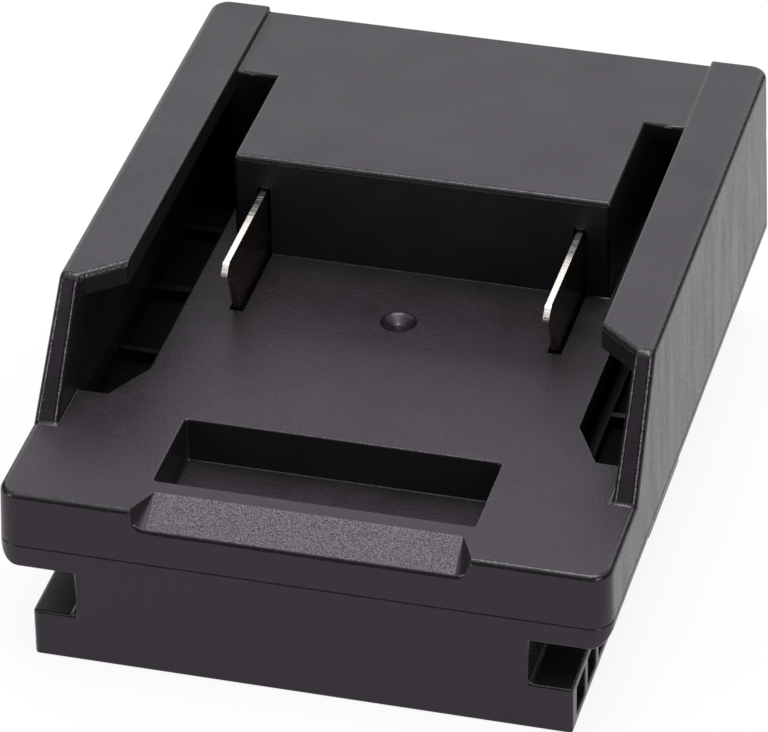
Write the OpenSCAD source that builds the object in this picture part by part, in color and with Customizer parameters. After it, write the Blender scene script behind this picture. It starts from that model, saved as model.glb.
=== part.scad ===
// Slide-on battery adapter for cordless tools.
// A slide battery runs in from the front between two lipped rails, and the foot slides into the host.
// Lengths along Y are counted from the front edge, and the part is centred on the origin at the end.

/* [Body] */
// Overall width, at the joint line
body_w = 76.5; // [73:0.5:84]
// Overall length, at the joint line
body_l = 96.8; // [92:0.1:112]
// Radius of the upright corners, at the joint line
corner_r = 3; // [2.5:0.1:5]
// Draft of the upper housing's outer walls, in degrees
draft = 1.9; // [0.5:0.1:2.5]
// Thickness of the outer walls
wall = 2.2; // [1.8:0.1:2.6]

/* [Heights] */
// Thickness of the foot's slide flanges
flange_h = 6.5; // [5.8:0.1:7.4]
// Height of the grooves above the flanges
groove_h = 6.3; // [5.4:0.1:8]
// Height of the lower housing's rim
rim_h = 3.1; // [2.4:0.1:4.5]
// Radius along the lower sides of the rim
rim_round = 2.5; // [1.5:0.1:2.8]
// Height of the upper housing's apron, from the joint line to the deck
apron_h = 7.4; // [7.2:0.1:10]
// Thickness of the deck
deck_t = 2.5; // [2:0.1:3]
// Height of the rear block above the deck
block_h = 14.2; // [13:0.1:18]
// Height of the rails above the deck
rail_h = 15; // [13.5:0.1:19]

/* [Battery rails] */
// Thickness of the rail walls, before the draft
rail_wall = 3.35; // [2.8:0.05:4]
// Reach of the lips over the battery channel
lip_reach = 5; // [4:0.1:6]
// Thickness of the lips
lip_t = 3.3; // [2.5:0.1:4]
// Distance from the front edge to the foot of the rails
rail_front = 15.6; // [12:0.1:20]
// How far the rail tops lie behind their foot
rail_rake = 11.2; // [6:0.1:14]
// How far the lips' inner corners lie behind the rail tops
lip_slant = 4.3; // [3:0.1:6]

/* [Deck openings] */
// Width of the opening beyond the lip's edge
opening_margin = 2.3; // [1.5:0.1:3]
// Lead of the opening ahead of the rail top
opening_lead = 2.9; // [2:0.1:4]
// Width of the opening's slanted front corner
opening_slant_w = 3.6; // [2.5:0.1:5]
// Length of the opening's slanted front corner
opening_slant_l = 6.8; // [5:0.1:8]

/* [Rear block] */
// Length of the rear block
block_l = 37.2; // [35:0.1:42]
// Width of the block beyond each blade
block_margin = 3.9; // [3:0.1:4.5]
// Length of the notches
notch_l = 20.2; // [14:0.1:24]

/* [Latch pocket] */
// Width of the pocket
pocket_w = 40; // [30:0.5:42]
// Length of the pocket
pocket_l = 13.5; // [10:0.1:14.5]
// Depth of the pocket
pocket_d = 6; // [4:0.1:7]
// Distance from the front edge to the pocket
pocket_front = 7.3; // [7:0.1:8.5]
// Radius of the pocket's upright corners
pocket_r = 0.5; // [0.3:0.1:2]
// Thickness of the pocket's walls and floor
tray_t = 1.8; // [1.2:0.1:2.2]

/* [Finger scoop] */
// Width of the ramp
scoop_w = 38.4; // [24:0.2:44]
// Length of the ramp on the deck
scoop_l = 4.9; // [3:0.1:5.1]
// Depth of the ramp on the front face
scoop_h = 2.9; // [2:0.1:4]
// Flare of each end along the front edge
scoop_flare = 2.1; // [1:0.1:3]

/* [Gate dimple] */
// Diameter of the dimple on the deck
dimple_d = 4.2; // [3:0.1:6]
// Diameter of the dimple's flat bottom
dimple_flat_d = 1.4; // [1:0.1:2]
// Depth of the dimple
dimple_depth = 1; // [0.5:0.1:1.4]
// Distance from the dimple to the rear block
dimple_setback = 11.5; // [8:0.1:14]

/* [Foot] */
// Width across the slide flanges
flange_w = 67.8; // [66.5:0.1:70]
// Width of the neck between the grooves
neck_w = 56.8; // [56:0.1:58]
// Thickness of the foot's floor
floor_t = 2.2; // [1.8:0.1:2.6]
// Thickness of the shelf over the grooves
shelf_t = 1.4; // [1:0.1:1.8]
// Thickness of the ribs on the shelf and on the floor
rib_t = 1.2; // [0.8:0.1:1.6]
// Distance between the ribs
rib_pitch = 14.8; // [10:0.1:20]
// Height of the ribs on the floor
rib_h = 4; // [2:0.1:6]
// Distance between the cored windows in the flanges
core_pitch = 5.9; // [5:0.1:8]
// Thickness of the webs between the windows
core_web = 1.2; // [0.8:0.1:1.6]
// Depth of the windows
core_depth = 4.4; // [3:0.1:4.6]
// Thickness of the skin above and below the windows
core_skin = 1.1; // [0.9:0.1:1.3]

/* [Joint line] */
// Width of the tongue round the rim
tongue_w = 1; // [0.7:0.1:1.2]
// Height of the tongue
tongue_h = 1.2; // [0.8:0.1:1.6]

/* [Terminal blades] */
// Distance between the two blades
blade_pitch = 41.4; // [38:0.2:42]
// Thickness of the blades
blade_t = 0.9; // [0.7:0.05:1.1]
// Height of the blades above the deck
blade_h = 9.4; // [8.5:0.1:11]
// Length of a blade's root in front of the block
blade_reach = 13.4; // [11:0.1:15]
// Overhang of a blade's nose ahead of its root
blade_nose = 5.2; // [3:0.1:6]
// Height of the nose at its tip
nose_h = 1.7; // [1.4:0.1:2.4]
// Length of the nose's underside
nose_run = 3; // [2:0.1:4]
// Drop of the nose's underside along that length
nose_drop = 1.9; // [1:0.1:3]
// Chamfer on top of the nose
nose_chamfer = 1.2; // [0.6:0.1:1.4]
// Depth of the tang below the deck
tang_d = 6.2; // [5:0.1:7]
// Length of the tail behind the block's front wall
tail_l = 5.5; // [5:0.1:7]
// Height of the tail below the deck's top
tail_drop = 1.7; // [1:0.1:2]
// Height of the tail's bent tab
tab_h = 9; // [8:0.1:10]

/* [Blade holder] */
// Thickness of the holder's plate
holder_t = 2.5; // [2:0.1:3]
// Depth of the holder's grooves into its plate
groove_d = 1; // [0.6:0.1:1.2]
// Width of the clamp round each blade
clamp_w = 6; // [5:0.1:7]
// Length of the clamp ahead of the blade's root
clamp_front = 1.5; // [1:0.1:2]
// Distance between the holder's screws
holder_screw_pitch = 9; // [8:0.5:12]

/* [Fork contacts] */
// Distance between the two forks
fork_pitch = 41.4; // [38:0.2:42]
// Thickness of the fork's sheet
fork_t = 0.8; // [0.6:0.05:0.9]
// Height of the fork's leaves
fork_h = 6.8; // [6:0.1:7.2]
// Width of the fork at its web
fork_w = 6.8; // [5.5:0.1:7.4]
// Gap between the leaves where they pinch
fork_pinch = 0.7; // [0.5:0.1:0.8]
// Length of the flared mouth
fork_mouth = 4.5; // [3:0.1:6]
// Width of the flared mouth
fork_mouth_w = 3; // [2.4:0.1:4]
// Width of the slots in the foot
entry_w = 2.4; // [2:0.1:3]
// Height of the slots in the foot
entry_h = 9; // [8:0.1:9.4]
// Wall of the contact holder
socket_wall = 1.3; // [1:0.1:1.4]
// Floor under the forks
socket_floor = 1; // [0.8:0.1:1.4]
// Height of the bridge between the two sockets
bridge_t = 2.5; // [2:0.1:3]
// Length of the bridge
bridge_l = 5.4; // [5:0.1:6]
// Distance between the contact holder's screws
socket_screw_pitch = 12; // [10:0.5:18]

/* [Leads] */
// Diameter over the insulation
lead_d = 3.2; // [2.6:0.1:3.4]
// Diameter of the bare core
core_d = 1.9; // [1.6:0.1:2]
// Radius of the lead's bend
lead_bend_r = 6.5; // [6:0.1:7]
// Outer diameter of the lug's barrel
barrel_d = 3.8; // [3.5:0.1:4]
// Length of the lug's barrel
barrel_l = 3.6; // [3:0.1:4]
// Diameter of the lug's ring
ring_d = 6; // [5.6:0.1:6.4]
// Thickness of the lug's sheet
lug_t = 0.8; // [0.6:0.1:1]
// Length of lead between the barrel and the bend
lead_straight = 1.4; // [1:0.1:1.8]
// Diameter of the rivets
rivet_d = 3; // [2.4:0.1:3.2]
// Diameter of the rivet heads
rivet_head_d = 5; // [4.4:0.1:5.2]
// Thickness of the rivet heads
rivet_head_t = 0.8; // [0.6:0.1:1]

/* [Side catches] */
// Length of the catches along the flange
catch_l = 20; // [16:0.5:22]
// Place of the catches in the room between the front screws and the sockets, from 0 to 1
catch_place = 0.28; // [0:0.02:1]
// How far the catches stand proud of the flange
catch_proud = 0.75; // [0.5:0.05:1]
// Travel of the catches
catch_travel = 1.5; // [1.2:0.1:2]
// Radius of the catches' outer corners
catch_r = 1.6; // [1:0.1:2.5]
// Length of the shoulder past each end of the catch
shoulder_l = 2; // [1.5:0.1:2.5]
// Thickness of the shoulder
shoulder_t = 2; // [1.5:0.1:2.5]
// Length of the spring sleeve behind the shoulder
sleeve_l = 6; // [5:0.1:7]
// Width of the spring sleeve
sleeve_w = 12; // [10:0.1:13]
// Thickness of the catch cover
cover_t = 1.3; // [1.2:0.1:2]
// Distance between a cover's two screws
cover_screw_pitch = 14; // [12:0.1:16]

/* [Catch springs] */
// Outer diameter of the spring
spring_d = 4.6; // [4:0.1:5]
// Diameter of the spring's wire
spring_wire = 0.6; // [0.5:0.05:0.7]
// Number of turns
spring_turns = 6; // [4:1:7]
// Length of the spring at rest
spring_l = 9.6; // [9:0.1:10]

/* [Screws] */
// Shank diameter of the housing screws
screw_d = 3; // [2.6:0.1:3.2]
// Head diameter of the housing screws
screw_head_d = 5.6; // [5:0.1:6]
// Head height of the housing screws
screw_head_h = 2.2; // [1.8:0.1:2.6]
// Depth of the head seats above the foot's bottom
screw_seat = 6; // [5:0.1:7]
// Grip of the housing screws in the upper housing
screw_grip = 6; // [5:0.1:6.2]
// Distance between the front pair of housing screws
front_screw_pitch = 45.8; // [44:0.2:46]
// Distance between the rear pair of housing screws
rear_screw_pitch = 18; // [16:0.2:20]
// Distance from the rear pair to the rear end
rear_screw_setback = 8; // [7.5:0.1:9]
// Shank diameter of the small screws
small_screw_d = 2.2; // [2:0.1:2.4]
// Head diameter of the small screws
small_head_d = 3.8; // [3.4:0.1:4]
// Head height of the small screws
small_head_h = 1.3; // [1.2:0.1:1.6]
// Grip of the small screws
small_grip = 4; // [3:0.1:4.5]

/* [Clearances] */
// Gap round the sliding catches
slide_gap = 0.25; // [0.2:0.05:0.35]
// Gap between pieces that are fitted together
fit_gap = 0.1; // [0.05:0.05:0.15]
// Gap round the blades in their slots
slot_gap = 0.35; // [0.2:0.05:0.5]
// Gap round a screw's shank or a rivet in its hole
hole_gap = 0.05; // [0.02:0.01:0.1]
// Gap round a screw's head in its recess
head_gap = 0.3; // [0.2:0.05:0.5]

/* [Hidden] */
$fn = 48;

// Overshoot of a cut past the face that it opens
cut = 1;
// Sink of a joined shape into its neighbour
sink = 0.4;
// Rings of the spring's tube on each turn, and sides of the tube
spring_rings = 8;
spring_sides = 6;

// Heights from the foot's bottom
rim_z = flange_h + groove_h;
joint_z = rim_z + rim_h;
deck_z = joint_z + apron_h;
deck_under = deck_z - deck_t;
block_z = deck_z + block_h;
rail_z = deck_z + rail_h;
roof_under = block_z - wall;
rim_edge_r = min(rim_round, 0.9 * rim_h);
// How far the upper housing's walls lean in up to the rail tops
lean = (rail_z - joint_z) * tan(draft);

// Half widths
half_w = body_w / 2;
inner_half = half_w - wall;
rail_in = half_w - rail_wall;
lip_in = rail_in - lip_reach;
blade_x = blade_pitch / 2;
block_half = blade_x + block_margin;
neck_half = neck_w / 2;
cavity_half = neck_half - wall;
flange_half = flange_w / 2;

// Places along the length
rail_top_y = rail_front + rail_rake;
opening_y = rail_top_y - opening_lead;
opening_in = lip_in - opening_margin;
block_y = body_l - block_l;
block_inner_y = block_y + wall;
notch_y = block_y + notch_l;
inner_back = body_l - wall;
pocket_back = pocket_front + pocket_l;

// Terminal blades
blade_top = deck_z + blade_h;
root_y = block_y - blade_reach;
nose_y = root_y - blade_nose;
tang_z = deck_under - tang_d;
tail_z = deck_z - tail_drop;
tab_back = block_inner_y + tail_l;
tab_z = (tail_z + blade_top) / 2;

// Blade holder
holder_top = tang_z + groove_d;
holder_z = holder_top - holder_t;
holder_front = root_y - clamp_front;
holder_back = block_y - slot_gap;
holder_mid = (holder_front + holder_back) / 2;

// Leads, lugs and rivets
lead_y = tab_back + barrel_d / 2;
rivet_x = blade_x - blade_t / 2 - slot_gap - rivet_head_d / 2;
barrel_out = rivet_x - rivet_head_d / 2 - slot_gap;
barrel_in = barrel_out - barrel_l;
bend_x = barrel_in - lead_straight;
lead_top = tab_z;
lead_low = lead_top - 2 * lead_bend_r;

// Fork contacts
fork_x = fork_pitch / 2;
web_y = lead_y + barrel_d / 2;
fork_z = floor_t + socket_floor;
fork_back = inner_back - 2 * socket_wall;
socket_front = web_y - socket_wall - fit_gap;
socket_back = inner_back - fit_gap;
socket_half = fork_w / 2 + socket_wall + slot_gap;
socket_top = fork_z + fork_h + slot_gap;
bridge_z = socket_top - bridge_t - small_head_h;
bridge_y = (2 * socket_front + bridge_l) / 2;

// Screws
screw_r = screw_d / 2;
head_r = screw_head_d / 2;
seat_boss_r = head_r + head_gap + rib_t;
grip_boss_r = screw_r + wall * 0.8;
small_r = small_screw_d / 2;
small_boss_r = small_r + rib_t;
front_screw_y = pocket_back + tray_t + seat_boss_r + rib_t;
rear_screw_y = body_l - rear_screw_setback;
screw_places = [
  [-front_screw_pitch / 2, front_screw_y], [front_screw_pitch / 2, front_screw_y],
  [-rear_screw_pitch / 2, rear_screw_y], [rear_screw_pitch / 2, rear_screw_y]
];

// Side catches
catch_room = [
  front_screw_y + seat_boss_r + shoulder_l + slide_gap, socket_front - fit_gap - shoulder_l - slide_gap
];
catch_y0 = catch_room[0] + catch_place * (catch_room[1] - catch_room[0] - catch_l);
catch_y1 = catch_y0 + catch_l;
catch_mid = (catch_y0 + catch_y1) / 2;
catch_out = flange_half + catch_proud;
catch_z0 = core_skin + slide_gap;
catch_z1 = flange_h - core_skin - slide_gap;
shoulder_x = cavity_half - slide_gap;
sleeve_x = shoulder_x - shoulder_t;
sleeve_in = sleeve_x - sleeve_l;
sleeve_r = spring_d / 2 + slide_gap;
spring_z = catch_z0 + sleeve_r + core_skin;
catch_top = spring_z + sleeve_r + core_skin;
cover_z = catch_top + slide_gap;
spring_wall_x = sleeve_x - spring_l;
spring_peg_d = spring_d - 2 * spring_wire - 4 * slide_gap;
guide_out = sleeve_x - catch_travel - 2 * slide_gap;
cover_screw_x = spring_wall_x - 2 * wall - small_screw_d / 2;
cover_in = cover_screw_x - small_head_d / 2 - wall / 2;

// Colours
black_plastic = "#3d3c40";
dark_plastic = "#2b2b2e";
nickel = "#c9c6be";
copper = "#b87a4a";
steel = "#8e9094";
red_lead = "#a52a26";
black_lead = "#1d1d1f";

// Shared shapes

// Moves a shape from the front edge to the centred frame
module centred() translate([0, -body_l / 2, 0]) children();

// A shape and its mirror image on the other side
module both_sides() {
  children();
  mirror([1, 0, 0]) children();
}

// A box given by its limits along each axis
module box(x, y, z) {
  translate([x[0], y[0], z[0]]) cube([x[1] - x[0], y[1] - y[0], z[1] - z[0]]);
}

// A round bar along Y, from y[0] to y[1]
module bar_y(x, y, z, r) translate([x, y[1], z]) rotate([90, 0, 0]) cylinder(r = r, h = y[1] - y[0]);

// A round bar along X, from x[0] to x[1]
module bar_x(x, y, z, r) translate([x[0], y, z]) rotate([0, 90, 0]) cylinder(r = r, h = x[1] - x[0]);

// A rectangle with round corners, w wide and from y = 0 to y = l
module round_plan(w, l, r) {
  translate([-w / 2 + r, 0]) square([w - 2 * r, l]);
  translate([-w / 2, r]) square([w, l - 2 * r]);
  for (x = [-w / 2 + r, w / 2 - r], y = [r, l - r]) translate([x, y]) circle(r);
}

// The body's plan drawn in by a margin, between two heights
module body_slab(margin, z) {
  translate([0, margin, z[0]]) linear_extrude(z[1] - z[0])
    round_plan(body_w - 2 * margin, body_l - 2 * margin, max(corner_r - margin, 0.5));
}

// An outline in Y and Z with a thickness along X
module side_outline(x, points) {
  translate([x[0], 0, 0]) rotate([90, 0, 90]) linear_extrude(x[1] - x[0]) polygon(points);
}

// A flat shape in X and Z with a length along Y, from y[0] to y[1]
module along_y(y) translate([0, y[1], 0]) rotate([90, 0, 0]) linear_extrude(y[1] - y[0]) children();

// A pan-head screw that points up, with its head's underside at z = 0
module screw(shank_r, shank_l, rim_r, rim_l) {
  socket_r = shank_r * 0.7;
  difference() {
    union() {
      cylinder(r = shank_r, h = shank_l);
      translate([0, 0, -rim_l]) cylinder(r = rim_r, h = rim_l);
    }
    translate([0, 0, -rim_l - cut]) cylinder(r = socket_r, h = rim_l / 2 + cut, $fn = 6);
  }
}

// Upper housing

// The outer form: walls that lean in by the draft, with conical corners
module drafted_body() {
  for (x = [-1, 1] * (half_w - corner_r), y = [corner_r, body_l - corner_r]) translate([x, y, joint_z])
    cylinder(r1 = corner_r, r2 = corner_r - lean, h = rail_z - joint_z);
  side_outline([corner_r - half_w, half_w - corner_r], [
    [0, joint_z], [lean, rail_z], [body_l - lean, rail_z], [body_l, joint_z]
  ]);
  along_y([corner_r, body_l - corner_r]) polygon([
    [-half_w, joint_z], [lean - half_w, rail_z], [half_w - lean, rail_z], [half_w, joint_z]
  ]);
}

module rails() {
  both_sides() {
    side_outline([rail_in, half_w], [
      [rail_front, deck_z - sink], [rail_front, deck_z], [rail_top_y, rail_z],
      [body_l, rail_z], [body_l, deck_z - sink]
    ]);
    translate([0, 0, rail_z - lip_t]) linear_extrude(lip_t) polygon([
      [rail_in + sink, rail_top_y], [rail_in, rail_top_y], [lip_in, rail_top_y + lip_slant],
      [lip_in, body_l], [rail_in + sink, body_l]
    ]);
  }
}

module rear_block() {
  box([-block_half, block_half], [block_y, body_l], [deck_z - sink, block_z]);
  box([-half_w, half_w], [notch_y, body_l], [deck_z - sink, block_z]);
}

module upper_cavity() {
  intersection() {
    body_slab(wall, [joint_z - cut, roof_under]);
    union() {
      box([-half_w, half_w], [0, body_l], [joint_z - cut, deck_under]);
      box([wall - block_half, block_half - wall], [block_inner_y, body_l], [joint_z - cut, roof_under]);
      box([-half_w, half_w], [notch_y + wall, body_l], [joint_z - cut, roof_under]);
    }
  }
}

module upper_shell() {
  difference() {
    intersection() {
      drafted_body();
      union() {
        box([-half_w, half_w], [0, body_l], [joint_z, deck_z]);
        rails();
        rear_block();
      }
    }
    upper_cavity();
  }
}

module pocket_plan(margin) {
  translate([0, pocket_front - margin])
    round_plan(pocket_w + 2 * margin, pocket_l + 2 * margin, pocket_r + margin);
}

module scoop_end() {
  scale([scoop_flare, 1, scoop_h]) rotate([90, 0, 0]) cylinder(r = 1, h = cut / 100, $fn = 32);
}

module finger_scoop() {
  hull() {
    for (x = [-scoop_w / 2, scoop_w / 2]) translate([x, 0, deck_z]) scoop_end();
    translate([-scoop_w / 2, scoop_l, deck_z]) cube([scoop_w, cut / 100, cut / 100]);
  }
}

module deck_openings() {
  both_sides() translate([0, 0, deck_under - cut]) linear_extrude(deck_t + 2 * cut) polygon([
    [rail_in, opening_y], [opening_in + opening_slant_w, opening_y],
    [opening_in, opening_y + opening_slant_l], [opening_in, notch_y], [rail_in, notch_y]
  ]);
}

// Slots for the blades: through the deck and the block's front wall, and clear of the tails behind it
module blade_slots() {
  both_sides() box(
    [blade_x - blade_t / 2 - slot_gap, blade_x + blade_t / 2 + slot_gap],
    [root_y - slot_gap, tab_back + slot_gap], [deck_under - cut, blade_top + slot_gap]
  );
}

module upper_housing() color(black_plastic) centred() {
  difference() {
    union() {
      upper_shell();
      translate([0, 0, deck_z - pocket_d - tray_t]) linear_extrude(pocket_d) pocket_plan(tray_t);
      box(
        [-scoop_w / 2 - scoop_flare - wall, scoop_w / 2 + scoop_flare + wall],
        [wall - sink, scoop_l + sink], [deck_z - scoop_h - wall, deck_under + sink]
      );
      for (p = screw_places) translate([p[0], p[1], joint_z])
        cylinder(r = grip_boss_r, h = (p[1] > block_y ? roof_under : deck_under) + sink - joint_z);
      both_sides() translate([holder_screw_pitch / 2, holder_mid, holder_top])
        cylinder(r = small_boss_r + rib_t, h = deck_under + sink - holder_top);
    }
    translate([0, 0, deck_z - pocket_d]) linear_extrude(pocket_d + cut) pocket_plan(0);
    finger_scoop();
    translate([0, block_y - dimple_setback, deck_z - dimple_depth])
      cylinder(r1 = dimple_flat_d / 2, r2 = dimple_d / 2, h = dimple_depth);
    deck_openings();
    blade_slots();
    for (p = screw_places) translate([p[0], p[1], joint_z - cut])
      cylinder(r = screw_r + hole_gap, h = screw_grip + hole_gap + cut);
    both_sides() translate([holder_screw_pitch / 2, holder_mid, holder_top - cut])
      cylinder(r = small_r + hole_gap, h = small_grip + hole_gap + cut);
    difference() {
      body_slab(wall - tongue_w - fit_gap, [joint_z - cut, joint_z + tongue_h + fit_gap]);
      body_slab(wall, [joint_z - 2 * cut, deck_z]);
    }
  }
}

// Lower housing

// The rim under the joint line, round along its lower sides
module lower_rim() {
  intersection() {
    body_slab(0, [rim_z, joint_z]);
    along_y([0, body_l]) {
      translate([-half_w, rim_z + rim_edge_r]) square([body_w, rim_h - rim_edge_r]);
      translate([rim_edge_r - half_w, rim_z]) square([body_w - 2 * rim_edge_r, rim_h]);
      for (x = [-1, 1] * (half_w - rim_edge_r)) translate([x, rim_z + rim_edge_r]) circle(rim_edge_r);
    }
  }
}

module lower_shell() {
  difference() {
    union() {
      lower_rim();
      box([-neck_half, neck_half], [0, body_l], [0, joint_z - sink]);
      box([-flange_half, flange_half], [0, body_l], [0, flange_h]);
      difference() {
        body_slab(wall - tongue_w, [joint_z - sink, joint_z + tongue_h]);
        body_slab(wall, [joint_z - cut, joint_z + tongue_h + cut]);
      }
    }
    box([-cavity_half, cavity_half], [wall, inner_back], [floor_t, joint_z + cut]);
    both_sides() intersection() {
      body_slab(wall, [rim_z + shelf_t, joint_z + cut]);
      box([neck_half, half_w], [0, body_l], [0, joint_z + cut]);
    }
  }
}

// Stiffening ribs: across the shelf all the way, and across the floor ahead of the catches
module lower_ribs() {
  for (y = [rib_pitch : rib_pitch : inner_back - rib_pitch / 2])
    both_sides() box([neck_half - sink, inner_half + sink], [y, y + rib_t], [rim_z + sink, joint_z]);
  for (y = [rib_pitch : rib_pitch : catch_y0 - rib_pitch / 2])
    box([-cavity_half - sink, cavity_half + sink], [y, y + rib_t], [floor_t - sink, floor_t + rib_h]);
}

// Walls that guide a catch and hold its spring, with the posts under the cover's screws
module catch_seat() {
  guide_y = sleeve_w / 2 + slide_gap;
  box(
    [spring_wall_x - wall, spring_wall_x], [catch_mid - guide_y, catch_mid + guide_y], [core_skin, cover_z]
  );
  bar_x([spring_wall_x - sink, sleeve_in], catch_mid, spring_z, spring_peg_d / 2);
  for (y = [catch_mid - guide_y - rib_t, catch_mid + guide_y])
    box([spring_wall_x - wall, guide_out], [y, y + rib_t], [core_skin, cover_z]);
  for (y = [-1, 1] * cover_screw_pitch / 2) translate([cover_screw_x, catch_mid + y, floor_t - sink])
    cylinder(r = small_boss_r, h = cover_z - floor_t + sink);
}

module flange_windows() {
  window_l = core_pitch - core_web;
  for (y = [wall : core_pitch : body_l - wall - window_l])
    if (y + window_l < catch_y0 - core_web || y > catch_y1 + core_web)
      both_sides() box(
        [flange_half - core_depth, flange_half + cut], [y, y + window_l], [core_skin, flange_h - core_skin]
      );
}

module catch_bays() {
  both_sides() {
    box(
      [cavity_half - cut, flange_half + cut], [catch_y0 - slide_gap, catch_y1 + slide_gap],
      [core_skin, flange_h - core_skin]
    );
    box(
      [spring_wall_x, cavity_half],
      [catch_y0 - shoulder_l - slide_gap, catch_y1 + shoulder_l + slide_gap], [core_skin, floor_t + sink]
    );
  }
}

// Room for the contact holder's sockets in the foot
module socket_seats() {
  both_sides() box(
    [fork_x - socket_half - fit_gap, fork_x + socket_half + fit_gap],
    [socket_front - fit_gap, socket_back + fit_gap], [floor_t, joint_z]
  );
}

module entry_slots() {
  both_sides() box(
    [fork_x - entry_w / 2, fork_x + entry_w / 2],
    [web_y + fork_t + entry_w, body_l + cut], [-cut, entry_h]
  );
}

module lower_housing() color(black_plastic) centred() {
  difference() {
    union() {
      difference() {
        union() {
          lower_shell();
          lower_ribs();
        }
        catch_bays();
      }
      both_sides() catch_seat();
      for (p = screw_places) translate([p[0], p[1], 0]) cylinder(r = seat_boss_r, h = joint_z);
      both_sides() translate([socket_screw_pitch / 2, bridge_y, floor_t - sink])
        cylinder(r = small_boss_r, h = bridge_z - floor_t + sink);
    }
    flange_windows();
    socket_seats();
    entry_slots();
    for (p = screw_places) translate([p[0], p[1], 0]) {
      translate([0, 0, -cut]) cylinder(r = screw_r + hole_gap, h = joint_z + 2 * cut);
      translate([0, 0, -cut]) cylinder(r = head_r + head_gap, h = screw_seat + cut);
    }
    both_sides() {
      for (y = [-1, 1] * cover_screw_pitch / 2)
        translate([cover_screw_x, catch_mid + y, cover_z - small_grip - hole_gap])
          cylinder(r = small_r + hole_gap, h = small_grip + cut);
      translate([socket_screw_pitch / 2, bridge_y, bridge_z - small_grip - hole_gap])
        cylinder(r = small_r + hole_gap, h = small_grip + cut);
    }
  }
}

// Terminal blades, with the one on the right drawn

module blade() {
  difference() {
    union() {
      side_outline([blade_x - blade_t / 2, blade_x + blade_t / 2], [
        [root_y, tang_z], [root_y, deck_z], [nose_y + nose_run, blade_top - nose_h - nose_drop],
        [nose_y, blade_top - nose_h], [nose_y, blade_top - nose_chamfer], [nose_y + nose_chamfer, blade_top],
        [tab_back, blade_top], [tab_back, tail_z], [holder_back, tail_z], [holder_back, tang_z]
      ]);
      box(
        [rivet_x - ring_d / 2, blade_x + blade_t / 2], [tab_back - blade_t, tab_back],
        [tab_z - tab_h / 2, tab_z + tab_h / 2]
      );
    }
    bar_y(rivet_x, [tab_back - blade_t - cut, tab_back + cut], tab_z, rivet_d / 2 + hole_gap);
  }
}

module negative_blade() color(nickel) centred() blade();

module positive_blade() color(nickel) centred() mirror([1, 0, 0]) blade();

module blade_holder() color(dark_plastic) centred() {
  reach = blade_x + clamp_w / 2;
  difference() {
    union() {
      box([-reach, reach], [holder_front + wall, holder_back - sink], [holder_z, holder_top]);
      both_sides() box(
        [blade_x - clamp_w / 2, reach], [holder_front, holder_back], [holder_z, deck_under]
      );
    }
    both_sides() {
      box(
        [blade_x - blade_t / 2 - fit_gap, blade_x + blade_t / 2 + fit_gap],
        [root_y - fit_gap, holder_back + cut], [tang_z, deck_under + cut]
      );
      translate([holder_screw_pitch / 2, holder_mid, holder_z - cut])
        cylinder(r = small_r + hole_gap, h = holder_t + 2 * cut);
    }
  }
}

module blade_holder_screws() color(steel) centred() both_sides()
  translate([holder_screw_pitch / 2, holder_mid, holder_z])
    screw(small_r, holder_t + small_grip, small_head_d / 2, small_head_h);

// Fork contacts, with the one on the right drawn

module fork_leaf() {
  out = fork_w / 2;
  pinch = fork_pinch / 2;
  pinch_y = fork_back - fork_mouth;
  linear_extrude(fork_h) polygon([
    [out - fork_t, web_y], [pinch, pinch_y], [fork_mouth_w / 2, fork_back],
    [fork_mouth_w / 2 + fork_t, fork_back], [pinch + fork_t, pinch_y], [out, web_y]
  ]);
}

module fork() {
  lug_low = lead_low - ring_d / 2;
  difference() {
    union() {
      translate([fork_x, 0, fork_z]) both_sides() fork_leaf();
      box([fork_x - fork_w / 2, fork_x + fork_w / 2], [web_y, web_y + fork_t], [fork_z, lug_low + sink]);
      box(
        [rivet_x - ring_d / 2, fork_x + fork_w / 2],
        [web_y, web_y + fork_t], [lug_low, lead_low + ring_d / 2]
      );
    }
    bar_y(rivet_x, [web_y - cut, web_y + fork_t + cut], lead_low, rivet_d / 2 + hole_gap);
  }
}

module negative_fork() color(copper) centred() fork();

module positive_fork() color(copper) centred() mirror([1, 0, 0]) fork();

module contact_holder() color(dark_plastic) centred() {
  difference() {
    union() {
      both_sides() box(
        [fork_x - socket_half, fork_x + socket_half], [socket_front, socket_back], [floor_t, socket_top]
      );
      box(
        [socket_half - fork_x - sink, fork_x - socket_half + sink],
        [socket_front, socket_front + bridge_l], [bridge_z, bridge_z + bridge_t]
      );
    }
    both_sides() {
      box(
        [fork_x - fork_w / 2 - slot_gap, fork_x + fork_w / 2 + slot_gap],
        [web_y - fit_gap, fork_back + fit_gap], [fork_z, socket_top + cut]
      );
      translate([socket_screw_pitch / 2, bridge_y, bridge_z - cut])
        cylinder(r = small_r + hole_gap, h = bridge_t + 2 * cut);
    }
    entry_slots();
  }
}

module contact_holder_screws() color(steel) centred() both_sides()
  translate([socket_screw_pitch / 2, bridge_y, bridge_z + bridge_t]) mirror([0, 0, 1])
    screw(small_r, bridge_t + small_grip, small_head_d / 2, small_head_h);

// Leads and lugs, with the ones on the right drawn

module lead() {
  for (z = [lead_low, lead_top]) {
    bar_x([bend_x, barrel_in], lead_y, z, lead_d / 2);
    bar_x([bend_x, barrel_out], lead_y, z, core_d / 2);
  }
  translate([bend_x, lead_y, (lead_low + lead_top) / 2]) rotate([90, 0, 0]) rotate([0, 0, 90])
    rotate_extrude(angle = 180) translate([lead_bend_r, 0]) circle(lead_d / 2);
}

module negative_lead() color(black_lead) centred() lead();

module positive_lead() color(red_lead) centred() mirror([1, 0, 0]) lead();

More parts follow.
